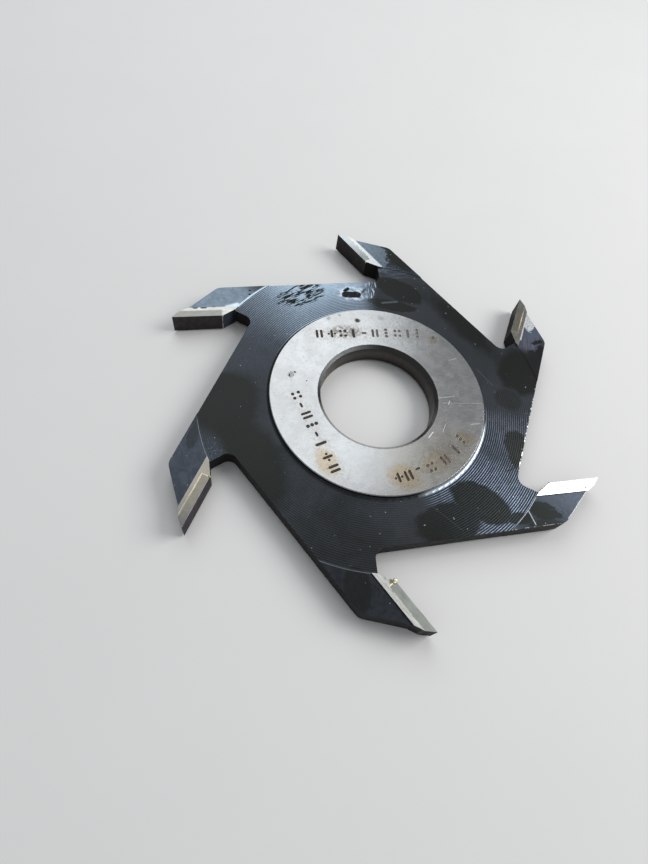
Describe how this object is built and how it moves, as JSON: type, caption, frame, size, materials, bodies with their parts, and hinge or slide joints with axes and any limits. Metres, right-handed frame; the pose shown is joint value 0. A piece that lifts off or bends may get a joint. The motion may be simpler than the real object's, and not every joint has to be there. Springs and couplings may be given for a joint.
{
  "type": "grooving cutter",
  "caption": "Flat round steel cutter with a central bore, a raised hub and brazed carbide-tipped teeth around its rim, for cutting grooves in wood.",
  "frame": {"origin": "centre of the bore on the lower face of the hub, which is the face the cutter lies on", "axes": "+Z along the bore towards the face seen in the picture, +X towards the cutting tip of the first tooth; seen from above the cutter turns anticlockwise"},
  "size_m": [0.125, 0.113, 0.007],
  "materials": {
    "body_steel": "darkened turned steel with a bright ground hub face and bright ground lands",
    "carbide": "ground tungsten carbide, dark grey",
    "braze": "dull silver brazing alloy"
  },
  "bodies": {
    "root": {"cutter_body": "body_steel", "carbide_tip_1": "carbide", "carbide_tip_2": "carbide", "carbide_tip_3": "carbide", "carbide_tip_4": "carbide", "carbide_tip_5": "carbide", "carbide_tip_6": "carbide", "braze_seam_1": "braze", "braze_seam_2": "braze", "braze_seam_3": "braze", "braze_seam_4": "braze", "braze_seam_5": "braze", "braze_seam_6": "braze"}
  },
  "joints": []
}
